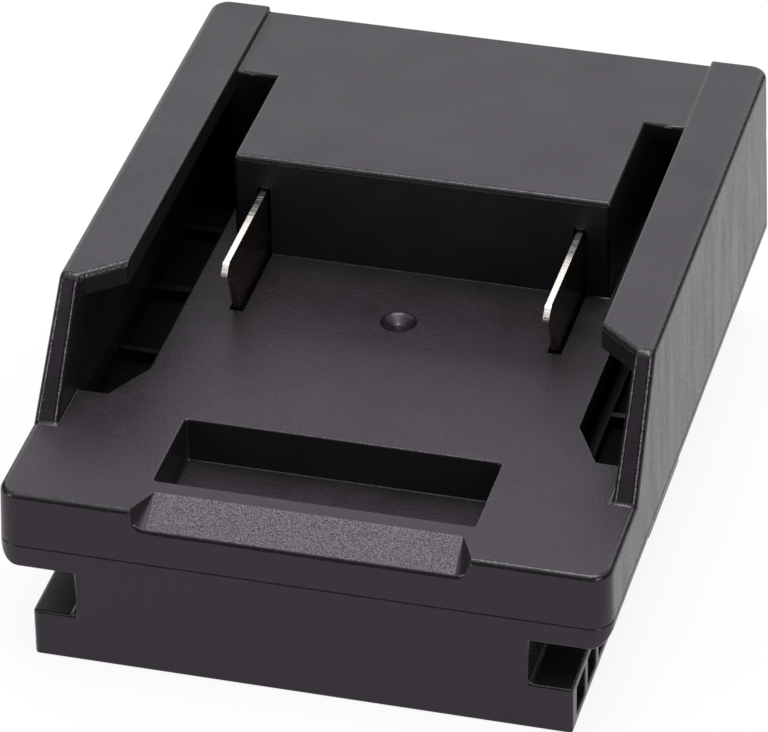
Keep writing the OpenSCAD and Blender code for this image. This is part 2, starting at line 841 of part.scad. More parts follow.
// A lug that lies against the face at y = tab_back, with its barrel at height z
module lug(z) {
  bore_r = core_d / 2 + hole_gap;
  difference() {
    union() {
      bar_y(rivet_x, [tab_back, tab_back + lug_t], z, ring_d / 2);
      box([barrel_out - sink, rivet_x], [tab_back, tab_back + lug_t], [z - barrel_d / 2, z + barrel_d / 2]);
      bar_x([barrel_in, barrel_out], lead_y, z, barrel_d / 2);
    }
    bar_y(rivet_x, [tab_back - cut, tab_back + lug_t + cut], z, rivet_d / 2 + hole_gap);
    bar_x([barrel_in - cut, barrel_out + cut], lead_y, z, bore_r);
  }
}

// Turns a lug round to face the fork's tab
module facing_fork() translate([0, 2 * lead_y, 0]) mirror([0, 1, 0]) children();

module negative_blade_lug() color(copper) centred() lug(lead_top);

module positive_blade_lug() color(copper) centred() mirror([1, 0, 0]) lug(lead_top);

module negative_fork_lug() color(copper) centred() facing_fork() lug(lead_low);

module positive_fork_lug() color(copper) centred() mirror([1, 0, 0]) facing_fork() lug(lead_low);

// A rivet through a tab of thickness t, whose far face is at y = tab_back, and the lug on it
module rivet(z, t) {
  y0 = tab_back - t;
  y1 = tab_back + lug_t;
  bar_y(rivet_x, [y0, y1], z, rivet_d / 2);
  bar_y(rivet_x, [y0 - rivet_head_t, y0], z, rivet_head_d / 2);
  bar_y(rivet_x, [y1, y1 + rivet_head_t], z, rivet_head_d / 2);
}

module terminal_rivets() color(steel) centred() both_sides() {
  rivet(lead_top, blade_t);
  facing_fork() rivet(lead_low, fork_t);
}

// Housing screws

module housing_screws() color(steel) centred()
  for (p = screw_places) translate([p[0], p[1], screw_seat])
    screw(screw_r, joint_z + screw_grip - screw_seat, head_r, screw_head_h);

// Side catches, with the one on the right drawn

module catch() {
  head_l = catch_out - sleeve_x;
  difference() {
    union() {
      translate([sleeve_x, catch_mid, catch_z0]) linear_extrude(catch_z1 - catch_z0) {
        translate([0, -catch_l / 2]) square([head_l - catch_r, catch_l]);
        translate([0, catch_r - catch_l / 2]) square([head_l, catch_l - 2 * catch_r]);
        for (y = [-1, 1] * (catch_l / 2 - catch_r)) translate([head_l - catch_r, y]) circle(catch_r);
      }
      box([sleeve_x, shoulder_x], [catch_y0 - shoulder_l, catch_y1 + shoulder_l], [catch_z0, catch_top]);
      box(
        [sleeve_in, sleeve_x + sink],
        [catch_mid - sleeve_w / 2, catch_mid + sleeve_w / 2], [catch_z0, catch_top]
      );
    }
    bar_x([sleeve_in - cut, sleeve_x], catch_mid, spring_z, sleeve_r);
  }
}

module right_catch() color(dark_plastic) centred() catch();

module left_catch() color(dark_plastic) centred() mirror([1, 0, 0]) catch();

// Coil springs: one tube swept along a helix about X, from the spring wall to the sleeve's bottom

function helix_turn(i) = 360 * i / spring_rings;
function helix_point(i) =
  let (r = (spring_d - spring_wire) / 2, n = spring_turns * spring_rings)
  [
    spring_wall_x + hole_gap + spring_wire / 2 + (spring_l - spring_wire - 2 * hole_gap) * i / n,
    catch_mid + r * cos(helix_turn(i)), spring_z + r * sin(helix_turn(i))
  ];
function helix_ring(i) = [
  for (k = [0 : spring_sides - 1])
    let (a = 360 * k / spring_sides, p = helix_point(i), out = spring_wire / 2 * cos(a))
    [
      p[0] + spring_wire / 2 * sin(a), p[1] + out * cos(helix_turn(i)), p[2] + out * sin(helix_turn(i))
    ]
];

// Least gap between neighbouring turns
function helix_gap() = min([
  for (i = [0 : (spring_turns - 1) * spring_rings])
    norm(helix_point(i + spring_rings) - helix_point(i)) - spring_wire
]);

module spring() {
  n = spring_turns * spring_rings;
  echo(spring_gap = helix_gap());
  points = [for (i = [0 : n]) each helix_ring(i)];
  sides = [
    for (i = [0 : n - 1], k = [0 : spring_sides - 1])
      let (a = i * spring_sides + k, b = i * spring_sides + (k + 1) % spring_sides)
      each [[a, a + spring_sides, b], [b, a + spring_sides, b + spring_sides]]
  ];
  caps = [
    for (k = [1 : spring_sides - 2])
      each [[0, k, k + 1], [n * spring_sides, n * spring_sides + k + 1, n * spring_sides + k]]
  ];
  polyhedron(points = points, faces = concat(sides, caps));
}

module right_catch_spring() color(steel) centred() spring();

module left_catch_spring() color(steel) centred() mirror([1, 0, 0]) spring();

// Catch covers, with the one on the right drawn

module catch_cover() {
  difference() {
    box(
      [cover_in, cavity_half - fit_gap], [catch_y0 - shoulder_l, catch_y1 + shoulder_l],
      [cover_z, cover_z + cover_t]
    );
    for (y = [-1, 1] * cover_screw_pitch / 2) translate([cover_screw_x, catch_mid + y, cover_z - cut])
      cylinder(r = small_r + hole_gap, h = cover_t + 2 * cut);
  }
}

module right_catch_cover() color(dark_plastic) centred() catch_cover();

module left_catch_cover() color(dark_plastic) centred() mirror([1, 0, 0]) catch_cover();

module catch_cover_screws() color(steel) centred() both_sides()
  for (y = [-1, 1] * cover_screw_pitch / 2)
    translate([cover_screw_x, catch_mid + y, cover_z + cover_t]) mirror([0, 0, 1])
      screw(small_r, cover_t + small_grip, small_head_d / 2, small_head_h);

upper_housing();
lower_housing();
blade_holder();
blade_holder_screws();
positive_blade();
negative_blade();
contact_holder();
contact_holder_screws();
positive_fork();
negative_fork();
positive_lead();
negative_lead();
positive_blade_lug();
positive_fork_lug();
negative_blade_lug();
negative_fork_lug();
terminal_rivets();
housing_screws();
left_catch();
right_catch();
left_catch_spring();
right_catch_spring();
left_catch_cover();
right_catch_cover();
catch_cover_screws();
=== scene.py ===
import math

import bmesh
import bpy
from mathutils import Matrix, Quaternion, Vector
from mathutils.bvhtree import BVHTree


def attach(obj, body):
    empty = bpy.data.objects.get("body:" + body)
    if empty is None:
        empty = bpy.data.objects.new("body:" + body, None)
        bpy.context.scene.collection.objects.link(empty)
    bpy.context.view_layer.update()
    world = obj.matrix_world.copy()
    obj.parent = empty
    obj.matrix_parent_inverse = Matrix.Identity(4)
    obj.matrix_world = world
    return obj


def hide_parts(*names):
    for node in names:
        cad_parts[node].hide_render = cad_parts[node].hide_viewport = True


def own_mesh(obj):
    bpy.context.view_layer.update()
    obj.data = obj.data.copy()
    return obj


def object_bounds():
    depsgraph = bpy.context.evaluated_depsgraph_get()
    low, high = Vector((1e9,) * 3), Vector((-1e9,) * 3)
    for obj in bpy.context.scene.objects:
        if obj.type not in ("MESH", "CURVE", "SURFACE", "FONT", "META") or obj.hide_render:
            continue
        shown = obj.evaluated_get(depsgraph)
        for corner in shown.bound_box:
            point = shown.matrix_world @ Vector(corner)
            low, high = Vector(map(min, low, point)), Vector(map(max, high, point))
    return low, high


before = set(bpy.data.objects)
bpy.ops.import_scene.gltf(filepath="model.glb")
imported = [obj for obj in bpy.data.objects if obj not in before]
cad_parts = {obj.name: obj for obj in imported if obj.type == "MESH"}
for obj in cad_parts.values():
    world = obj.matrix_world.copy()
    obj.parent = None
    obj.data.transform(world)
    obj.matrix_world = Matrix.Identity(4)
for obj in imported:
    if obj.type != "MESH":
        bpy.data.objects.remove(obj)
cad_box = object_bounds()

# Lower housing: the half that slides onto the host, with a rim, a neck and a flanged foot.
# Injection-moulded in black glass-filled nylon, with cored windows along the flanges and a
# small radius on every edge that shows.
MM = 0.001
front = cad_box[0].y
body_l = (cad_box[1].y - front) / MM
joint_z, rim_z, flange_h, flange_half, neck_half = 15.9, 12.8, 6.5, 33.9, 28.4
black = "#171417", "#1c191c"
soft_angle, near = math.radians(24), 0.05
seam_r, edge_r, foot_r, hole_step = 0.2, 0.4, 0.3, 1.5
neck_r, flange_end_r, window_r, window_rim_r = 0.9, 0.8, 0.9, 0.2


def linear(code):
    """Linear RGBA of an sRGB hex code."""
    parts = [int(code[i:i + 2], 16) / 255 for i in (1, 3, 5)]
    return [c / 12.92 if c <= 0.04045 else ((c + 0.055) / 1.055) ** 2.4 for c in parts] + [1]


def node(tree, kind, links=None, **settings):
    """Adds a node. Settings name its sockets or attributes. Links name sockets or give their places."""
    made = tree.nodes.new(kind)
    for name, value in settings.items():
        label = name.replace("_", " ")
        socket = next((s for s in made.inputs if s.name.lower() == label), None)
        if socket:
            socket.default_value = value
        else:
            setattr(made, name, value)
    for name, source in (links or {}).items():
        socket = made.inputs[name] if isinstance(name, int) else next(
            s for s in made.inputs if s.name.lower() == name)
        tree.links.new(source, socket)
    return made


def finish(name, shader):
    """A node material named for its finish. shader adds the nodes and returns the surface's output."""
    made = bpy.data.materials.new(name)
    made.use_nodes = True
    made.node_tree.nodes.clear()
    surface = shader(made.node_tree)
    node(made.node_tree, "ShaderNodeOutputMaterial", {"surface": surface})
    return made


def moulded(dark, pale, grain_mm, depth_mm, roughness, ior=1.5, stretch=(1, 1, 1), tint="#f8ebff"):
    """Moulded plastic: a tool grain that breaks up the sheen, and faint flow clouds in colour and gloss."""
    cloud_mm, grain_gloss, cloud_gloss = 8, 0.07, 0.05

    def shader(tree):
        place = node(tree, "ShaderNodeTexCoord").outputs["Object"]
        grain = node(tree, "ShaderNodeTexNoise", {"vector": place}, scale=1 / (grain_mm * MM), detail=2.0)
        flow = node(tree, "ShaderNodeMapping", {"vector": place}, scale=stretch)
        cloud = node(tree, "ShaderNodeTexNoise", {"vector": flow.outputs[0]}, scale=1 / (cloud_mm * MM),
                     detail=4.0)
        shade = node(tree, "ShaderNodeMix", {"factor": cloud.outputs["Fac"]}, data_type="RGBA")
        shade.inputs[6].default_value = linear(dark)
        shade.inputs[7].default_value = linear(pale)
        gloss = node(tree, "ShaderNodeMapRange", {"value": grain.outputs["Fac"]}, from_min=0.3, from_max=0.7,
                     to_min=roughness - grain_gloss, to_max=roughness + grain_gloss)
        drift = node(tree, "ShaderNodeMapRange", {"value": cloud.outputs["Fac"]}, from_min=0.3, from_max=0.7,
                     to_min=-cloud_gloss, to_max=cloud_gloss)
        sheen = node(tree, "ShaderNodeMath", {0: gloss.outputs["Result"], 1: drift.outputs["Result"]})
        bump = node(tree, "ShaderNodeBump", {"height": grain.outputs["Fac"]}, strength=1.0,
                    distance=depth_mm * MM)
        return node(tree, "ShaderNodeBsdfPrincipled", {
            "base color": shade.outputs[2], "roughness": sheen.outputs[0],
            "normal": bump.outputs["Normal"]}, ior=ior, specular_tint=linear(tint)).outputs["BSDF"]
    return shader


# Glass-filled nylon from a fine tool: nearly black, with a soft charcoal sheen where it mirrors the light.
nylon = finish("fine_moulded_nylon", moulded(*black, 0.3, 0.012, 0.38))
# The same nylon on the drafted sides, rubbed smoother as it left the tool: upright streaks in a clear sheen.
side_nylon = finish("drafted_side_nylon", moulded(*black, 0.3, 0.02, 0.27, stretch=(3.5, 3.5, 0.6)))
# The edges, burnished by handling: a crisp bright line wherever one turns through the light.
edge_nylon = finish("burnished_nylon", moulded(*black, 0.3, 0.04, 0.14, tint="#fdf6ff"))
# The inside faces: rough, flat nylon, its colour darker than the housings as painted shade, so that the
# hollows sink into the shade.
hollow_nylon_painted_shade = finish("rough_nylon_painted_shade", moulded("#0a0a0b", "#0f0f10", 0.5, 0.03, 0.8, 1.25))

corners, triangles = [], []
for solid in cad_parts.values():
    first = len(corners)
    corners += [v.co.copy() for v in solid.data.vertices]
    triangles += [[first + i for i in p.vertices] for p in solid.data.polygons]
solids = BVHTree.FromPolygons(corners, triangles)
ways_out = [Vector((x, y, z)).normalized() for x in (-1, 0, 1) for y in (-1, 0, 1) for z in (-1, 0, 1)
            if x or y or z]


def shows(edge):
    """True if a straight line runs from the edge's middle to the outside."""
    middle = (edge.verts[0].co + edge.verts[1].co) / 2
    out = sum((f.normal for f in edge.link_faces), Vector()).normalized()
    return any(solids.ray_cast(middle + out * near * MM, way)[0] is None for way in ways_out)


def rounded_copy(name, source, body, finishes, radius_of, finish_of=None):
    """A welded copy of a CAD node with a radius on each edge that shows. radius_of gives the radius
    from the edge's ends, in mm from the middle of the front end's foot. The radii get the last finish,
    and finish_of gives the place in the list for every other face."""
    bm = bmesh.new()
    bm.from_mesh(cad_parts[source].data)
    bmesh.ops.remove_doubles(bm, verts=bm.verts, dist=0.001 * MM)
    bmesh.ops.dissolve_limit(bm, angle_limit=math.radians(0.5), verts=bm.verts, edges=bm.edges)
    bm.normal_update()
    weight = bm.edges.layers.float.new("bevel_weight_edge")
    radii = {}
    for e in bm.edges:
        if e.calc_face_angle() > soft_angle and shows(e):
            radius = radius_of(*((v.co - Vector((0, front, 0))) / MM for v in e.verts))
            if radius:
                radii[e] = radius
    widest = max(radii.values())
    for e in bm.edges:
        e[weight] = radii.get(e, 0) / widest
        e.smooth = e in radii or e.calc_face_angle() < soft_angle
    for f in bm.faces:
        f.smooth = True
        f.material_index = finish_of(f) if finish_of else 0
    mesh = bpy.data.meshes.new(name)
    bm.to_mesh(mesh)
    bm.free()
    piece = bpy.data.objects.new(name, mesh)
    bpy.context.scene.collection.objects.link(piece)
    fillets = piece.modifiers.new("fillets", "BEVEL")
    fillets.limit_method = "WEIGHT"
    fillets.width = widest * MM
    fillets.segments = 4
    fillets.profile = 0.5
    fillets.material = len(finishes) - 1
    fillets.use_clamp_overlap = False
    flats = piece.modifiers.new("flat_faces", "WEIGHTED_NORMAL")
    flats.keep_sharp = True
    for one in finishes:
        mesh.materials.append(one)
    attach(piece, body)
    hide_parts(source)
    return piece


def inside(x, y, z):
    """True within the rim's wall, above its floor."""
    wall, rim_in = 1.2, 37
    return x < rim_in and wall < y < body_l - wall and z > rim_z + 0.2


def lower_radius(a, b):
    middle = (a + b) / 2
    x, y, z = abs(middle.x), middle.y, middle.z
    along_x = abs(a.y - b.y) < 0.01 and abs(a.z - b.z) < 0.01
    at_flange = abs(x - flange_half) < near
    at_window = 0.5 < z < flange_h - 0.5
    if z > joint_z - near:
        return seam_r
    if inside(x, y, z):
        return 0
    if abs(x - neck_half) < near and (abs(z - flange_h) < near or abs(z - rim_z) < near):
        return neck_r
    if at_flange and (y < 0.01 or y > body_l - 0.01):
        return flange_end_r
    if along_x and neck_half < x < flange_half and at_window:
        return window_r
    if at_flange and at_window:
        return window_rim_r
    if z < 0.1:
        return foot_r if (a - b).length > hole_step else 0
    return edge_r


def lower_finish(face):
    x, y, z = (face.calc_center_median() - Vector((0, front, 0))) / MM
    # Faces inside the rim get the nylon darkened with painted shade.
    if z < joint_z - near and inside(abs(x), y, z):
        return 2
    return 1 if abs(face.normal.x) > 0.5 else 0


rounded_copy("lower_moulding", "lower_housing", "housing",
             [nylon, side_nylon, hollow_nylon_painted_shade, edge_nylon], lower_radius, lower_finish)

# Fork contacts: two pinched leaves each, stamped and bent from phosphor bronze strip. They sit in
# the sockets of a plain nylon holder that two screws hold to the floor of the foot.
def strip_metal(face, edge, tarnish, grain_mm, roughness):
    """Rolled strip: fine lines along its length, dull tarnish on the faces and bright sheared edges."""
    def shader(tree):
        place = node(tree, "ShaderNodeTexCoord").outputs
        along = node(tree, "ShaderNodeMapping", {"vector": place["Object"]}, scale=(1, 0.08, 1))
        lines = node(tree, "ShaderNodeTexNoise", {"vector": along.outputs[0]}, scale=1 / (grain_mm * MM),
                     detail=3.0)
        blotch = node(tree, "ShaderNodeTexNoise", {"vector": place["Object"]}, scale=1 / (3 * MM),
                      detail=4.0)
        spread = node(tree, "ShaderNodeMapRange", {"value": blotch.outputs["Fac"]}, from_min=0.35,
                      from_max=0.7)
        dull = node(tree, "ShaderNodeMix", {"factor": spread.outputs["Result"]}, data_type="RGBA")
        dull.inputs[6].default_value = linear(face)
        dull.inputs[7].default_value = linear(tarnish)
        side = node(tree, "ShaderNodeSeparateXYZ", {"vector": place["Normal"]})
        flat = node(tree, "ShaderNodeMath", {0: side.outputs["X"]}, operation="ABSOLUTE")
        turn = node(tree, "ShaderNodeMapRange", {"value": flat.outputs[0]}, from_min=0.3, from_max=0.8)
        colour = node(tree, "ShaderNodeMix", {"factor": turn.outputs["Result"], 7: dull.outputs[2]},
                      data_type="RGBA")
        colour.inputs[6].default_value = linear(edge)
        gloss = node(tree, "ShaderNodeMapRange", {"value": lines.outputs["Fac"]}, from_min=0.3, from_max=0.7,
                     to_min=roughness - 0.08, to_max=roughness + 0.1)
        bump = node(tree, "ShaderNodeBump", {"height": lines.outputs["Fac"]}, strength=1.0,
                    distance=0.01 * MM)
        return node(tree, "ShaderNodeBsdfPrincipled", {
            "base color": colour.outputs[2], "roughness": gloss.outputs["Result"],
            "normal": bump.outputs["Normal"]}, metallic=1.0).outputs["BSDF"]
    return shader


# Phosphor bronze: a warm red-brown metal, matt on its rolled faces and pinker where it was cut.
bronze = finish("rolled_phosphor_bronze", strip_metal("#b98f68", "#d3a27c", "#8a6645", 0.2, 0.35))
# Unfilled nylon from a polished tool: darker and smoother than the housings, with a slight shine.
inner_nylon = finish("smooth_black_nylon", moulded("#121214", "#18181a", 0.6, 0.006, 0.36))


def dress(material, *names):
    """Gives CAD nodes a material."""
    for name in names:
        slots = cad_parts[name].data.materials
        slots.clear()
        slots.append(material)


dress(bronze, "positive_fork", "negative_fork")
dress(inner_nylon, "contact_holder")

# Side catches: a round-nosed slide in each flange that snaps behind the host's stop. Each is moulded
# in acetal, pushed out by a coil spring of steel wire and kept in its bay by a screwed nylon cover.
# Acetal: close to the housings in colour, but waxy, with a broad smooth highlight and little grain.
acetal = finish("moulded_acetal", moulded("#1d1c1e", "#232224", 0.4, 0.006, 0.36))
shoulder_x, catch_nose_r, catch_edge_r = 26.95, 0.7, 0.2


def catch_radius(a, b):
    return catch_nose_r if abs(a.x + b.x) / 2 > shoulder_x else catch_edge_r


for side in ("left", "right"):
    rounded_copy(side + "_catch_slide", side + "_catch", side + "_catch", [acetal],
                 catch_radius)
dress(inner_nylon, "left_catch_cover", "right_catch_cover")


def drawn_wire(tree):
    """Spring wire: bright steel with fine drawing lines and a thin straw tint in patches."""
    place = node(tree, "ShaderNodeTexCoord").outputs["Object"]
    patch = node(tree, "ShaderNodeTexNoise", {"vector": place}, scale=1 / (1.2 * MM), detail=3.0)
    tint = node(tree, "ShaderNodeMix", {"factor": patch.outputs["Fac"]}, data_type="RGBA")
    tint.inputs[6].default_value = linear("#b9b9ba")
    tint.inputs[7].default_value = linear("#c9c0ae")
    gloss = node(tree, "ShaderNodeMapRange", {"value": patch.outputs["Fac"]}, to_min=0.2, to_max=0.42)
    return node(tree, "ShaderNodeBsdfPrincipled", {
        "base color": tint.outputs[2], "roughness": gloss.outputs["Result"]}, metallic=1.0).outputs["BSDF"]


wire = finish("drawn_spring_steel", drawn_wire)
for side, sign in (("left", -1), ("right", 1)):
    source = side + "_catch_spring"
    bm = bmesh.new()
    bm.from_mesh(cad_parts[source].data)
    bmesh.ops.remove_doubles(bm, verts=bm.verts, dist=0.001 * MM)
    for f in bm.faces:
        f.smooth = True
    mesh = bpy.data.meshes.new(side + "_coil")
    bm.to_mesh(mesh)
    bm.free()
    mesh.materials.append(wire)
    coil = bpy.data.objects.new(side + "_coil", mesh)
    bpy.context.scene.collection.objects.link(coil)
    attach(coil, "housing")
    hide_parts(source)
    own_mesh(coil)

# Terminal blades: two tabs 0.9 mm thick that the battery's contacts grip. They are stamped from
# copper alloy, nickel-plated, and clamped under the deck by a nylon holder.
blade_top, nose_y = 32.7, 41
nose_r, nose_top_r, blade_edge_r = 0.22, 0.4, 0.12


def nickel_painted_light(tree):
    """Nickel plate with shear marks across the cut edges. The edges are painted near white as a painted
    highlight, and the broad faces and the part towards the root are painted brown-grey in patches as painted
    shade."""
    place = node(tree, "ShaderNodeTexCoord").outputs
    across = node(tree, "ShaderNodeMapping", {"vector": place["Object"]}, scale=(0.15, 1, 1))
    shear = node(tree, "ShaderNodeTexNoise", {"vector": across.outputs[0]}, scale=1 / (0.35 * MM),
                 detail=3.0)
    patch = node(tree, "ShaderNodeTexNoise", {"vector": place["Object"]}, scale=1 / (2.5 * MM), detail=4.0)
    side = node(tree, "ShaderNodeSeparateXYZ", {"vector": place["Normal"]})
    flat = node(tree, "ShaderNodeMath", {0: side.outputs["X"]}, operation="ABSOLUTE")
    turn = node(tree, "ShaderNodeMapRange", {"value": flat.outputs[0]}, from_min=0.5, from_max=0.95)
    height = node(tree, "ShaderNodeSeparateXYZ", {"vector": place["Object"]})
    # Painted shade: darker towards the root, where the blade stands out of the deck.
    root_painted_shade = node(tree, "ShaderNodeMapRange", {"value": height.outputs["Z"]}, from_min=(blade_top - 2.5) * MM,
                from_max=(blade_top - 4) * MM)
    stain = node(tree, "ShaderNodeMath", {0: turn.outputs["Result"], 1: root_painted_shade.outputs["Result"]},
                 operation="MAXIMUM")
    # Painted shade on the broad faces and the root: brown-grey in patches.
    dull = node(tree, "ShaderNodeMix", {"factor": patch.outputs["Fac"]}, data_type="RGBA")
    dull.inputs[6].default_value = linear("#7d7367")
    dull.inputs[7].default_value = linear("#5f5449")
    # Painted highlight on the cut edges: near white, broken by shear marks.
    bright = node(tree, "ShaderNodeMix", {"factor": shear.outputs["Fac"]}, data_type="RGBA")
    bright.inputs[6].default_value = linear("#cfcac4")
    bright.inputs[7].default_value = linear("#f2efea")
    colour = node(tree, "ShaderNodeMix", {
        "factor": stain.outputs[0], 6: bright.outputs[2], 7: dull.outputs[2]}, data_type="RGBA")
    gloss = node(tree, "ShaderNodeMapRange", {"value": shear.outputs["Fac"]}, from_min=0.3, from_max=0.7,
                 to_min=0.22, to_max=0.42)
    bump = node(tree, "ShaderNodeBump", {"height": shear.outputs["Fac"]}, strength=1.0, distance=0.03 * MM)
    return node(tree, "ShaderNodeBsdfPrincipled", {
        "base color": colour.outputs[2], "roughness": gloss.outputs["Result"],
        "normal": bump.outputs["Normal"]}, metallic=1.0).outputs["BSDF"]


nickel = finish("nickel_plate_painted_light", nickel_painted_light)


def blade_radius(a, b):
    middle = (a + b) / 2
    along_x = abs(a.y - b.y) < 0.01 and abs(a.z - b.z) < 0.01
    if along_x and middle.y < nose_y + 0.1:
        return nose_r
    return nose_top_r if along_x and middle.y < nose_y + 1.5 and middle.z > blade_top - 4 else blade_edge_r


for pole in ("positive", "negative"):
    rounded_copy(pole + "_terminal_blade", pole + "_blade", "housing", [nickel],
                 blade_radius)
dress(inner_nylon, "blade_holder")

# Leads: a short loop of stranded wire from each blade down to its fork, red for the positive pole.
# Bronze lugs are crimped on its ends, and a steel rivet fixes each lug to its tab.
def insulation(dark, pale):
    """Soft extruded insulation: a dull rubbery skin with faint rings from the die and dusty patches."""
    def shader(tree):
        place = node(tree, "ShaderNodeTexCoord").outputs["Object"]
        dust = node(tree, "ShaderNodeTexNoise", {"vector": place}, scale=1 / (1.5 * MM), detail=4.0)
        colour = node(tree, "ShaderNodeMix", {"factor": dust.outputs["Fac"]}, data_type="RGBA")
        colour.inputs[6].default_value = linear(dark)
        colour.inputs[7].default_value = linear(pale)
        bump = node(tree, "ShaderNodeBump", {"height": dust.outputs["Fac"]}, strength=1.0,
                    distance=0.01 * MM)
        return node(tree, "ShaderNodeBsdfPrincipled", {
            "base color": colour.outputs[2], "normal": bump.outputs["Normal"]},
            roughness=0.55, ior=1.42).outputs["BSDF"]
    return shader


dress(finish("red_silicone_insulation", insulation("#8f1713", "#a82a22")), "positive_lead")
dress(finish("black_silicone_insulation", insulation("#1a1a1b", "#272728")), "negative_lead")
dress(bronze, "positive_blade_lug", "negative_blade_lug", "positive_fork_lug", "negative_fork_lug")


def zinc_plate(tree):
    """Zinc-plated steel: cool grey with a fine crystalline mottle and a satin shine."""
    place = node(tree, "ShaderNodeTexCoord").outputs["Object"]
    crystal = node(tree, "ShaderNodeTexVoronoi", {"vector": place}, scale=1 / (0.5 * MM))
    stain = node(tree, "ShaderNodeTexNoise", {"vector": place}, scale=1 / (1.5 * MM), detail=3.0)
    colour = node(tree, "ShaderNodeMix", {"factor": stain.outputs["Fac"]}, data_type="RGBA")
    colour.inputs[6].default_value = linear("#aeb2b6")
    colour.inputs[7].default_value = linear("#cfd1d2")
    gloss = node(tree, "ShaderNodeMapRange", {"value": crystal.outputs["Distance"]}, to_min=0.25,
                 to_max=0.45)
    return node(tree, "ShaderNodeBsdfPrincipled", {
        "base color": colour.outputs[2], "roughness": gloss.outputs["Result"]}, metallic=1.0).outputs["BSDF"]


zinc = finish("zinc_plated_steel", zinc_plate)
dress(zinc, "terminal_rivets")

# Upper housing: the half that takes the battery, with a flat deck, a lipped rail on each side, a
# block at the rear, a latch pocket and a finger scoop. It is moulded like the lower housing, and
# the scoop's ramp keeps a coarser grain for grip.
deck_z, block_z, rail_z = 23.3, 37.5, cad_box[1].z / MM
half_w, lip_in, rail_in, block_half = cad_box[1].x / MM, 29.9, 34.9, 24.6
rail_front, rail_top_y, block_y, notch_y = 15.6, 26.8, 59.6, 79.8
corner_x, corner_r = 35.25, 3.0
slot_in, slot_out, slot_y, slot_top = 19, 22.5, 45, 34
ramp_y, ramp_normal = 4.9, Vector((0, -0.509, 0.861))
rail_side_r, rail_rear_r, rail_slope_r, rail_slope_in_r, rail_foot_r = 0.8, 0.5, 0.8, 0.7, 0.5
lip_r, lip_front_r, deck_r, block_front_r, block_r, slot_r, fine_r = 0.35, 0.9, 0.8, 0.8, 0.5, 0.15, 0.3

# Spark-eroded nylon on the deck: a dry grain that glints, drawn at 0.35 mm, coarser than the real
# 0.15 mm, so that it shows.
deck_nylon = finish("spark_eroded_nylon", moulded("#1e1b1e", "#262326", 0.35, 0.045, 0.45))


def coarse_grip_painted_glints(tree):
    """Coarse spark-eroded nylon, drawn at 0.17 mm: a bump of peaks and pits, with painted glints on the
    peaks and painted shade in the pits.
    """
    place = node(tree, "ShaderNodeTexCoord").outputs["Object"]
    pits = node(tree, "ShaderNodeTexNoise", {"vector": place}, scale=1 / (0.17 * MM), detail=2.0)
    # Painted glints on the peaks and painted shade in the pits, from the same noise as the bump.
    glint_and_pit_shade = node(tree, "ShaderNodeMapRange", {"value": pits.outputs["Fac"]}, from_min=0.38, from_max=0.62)
    shade = node(tree, "ShaderNodeMix", {"factor": glint_and_pit_shade.outputs["Result"]}, data_type="RGBA")
    shade.inputs[6].default_value = linear("#252326")
    shade.inputs[7].default_value = linear("#6f6c6f")
    bump = node(tree, "ShaderNodeBump", {"height": pits.outputs["Fac"]}, strength=1.0, distance=0.06 * MM)
    return node(tree, "ShaderNodeBsdfPrincipled", {
        "base color": shade.outputs[2], "normal": bump.outputs["Normal"]}, roughness=0.5,
        specular_tint=linear("#f7e9ff")).outputs["BSDF"]


grip_nylon_painted_light = finish("coarse_nylon_painted_glints", coarse_grip_painted_glints)


def round_corner(x, y, side, end):
    """Runs from side to end round a corner of the body, by the angle."""
    turn = math.atan2(max(y, 0), max(x - corner_x, 0)) / (math.pi / 2)
    return side + (end - side) * turn


def upper_radius(a, b):
    middle = (a + b) / 2
    x, y, z = abs(middle.x), middle.y, middle.z
    level = abs(a.z - b.z) < 0.01
    on_deck = level and abs(z - deck_z) < near
    at_block_side = abs(x - block_half) < near
    if z < joint_z + near:
        return seam_r
    if level and z > rail_z - near:
        if x < lip_in + near:
            return lip_r
        if x < rail_in and y < rail_top_y + 5:
            return lip_front_r
        return round_corner(x, y - body_l + corner_r, rail_side_r, rail_rear_r)
    if level and abs(z - block_z) < near:
        if x > lip_in - near:
            return fine_r
        return block_front_r if y < block_y + 0.1 else block_r
    if on_deck and abs(y - ramp_y) < near:
        return 0
    if on_deck and (x > half_w - 1 or y < 1 or (x > corner_x and y < corner_r)):
        return deck_r
    if not level and rail_front - 0.1 < y < rail_top_y + 0.1 and z > deck_z:
        return rail_slope_r if x > half_w - 1 else rail_slope_in_r
    if z > deck_z and abs(y - block_y) < near and at_block_side:
        return block_r
    if not level and abs(y - notch_y) < near and at_block_side:
        return 0
    if on_deck and abs(y - rail_front) < near:
        return rail_foot_r
    if y < 0.5 and z < deck_z:
        return edge_r
    if slot_in < x < slot_out and slot_y < y < block_y + 0.1 and z < slot_top:
        return slot_r
    return fine_r


def upper_finish(face):
    if face.normal.dot(ramp_normal) > 0.999:
        return 3
    if face.normal.z > 0.9 and face.calc_center_median().z / MM < deck_z + 0.1:
        return 2
    return 1 if abs(face.calc_center_median().x) > (half_w - 1) * MM else 0


rounded_copy("upper_moulding", "upper_housing", "housing",
             [nylon, side_nylon, deck_nylon, grip_nylon_painted_light, edge_nylon], upper_radius, upper_finish)

# Screws: four thread-forming screws from below close the housings, and small ones hold the holders
# and the covers. All are zinc-plated steel with a six-sided socket in a pan head.
dress(zinc, "housing_screws", "blade_holder_screws", "contact_holder_screws", "catch_cover_screws")

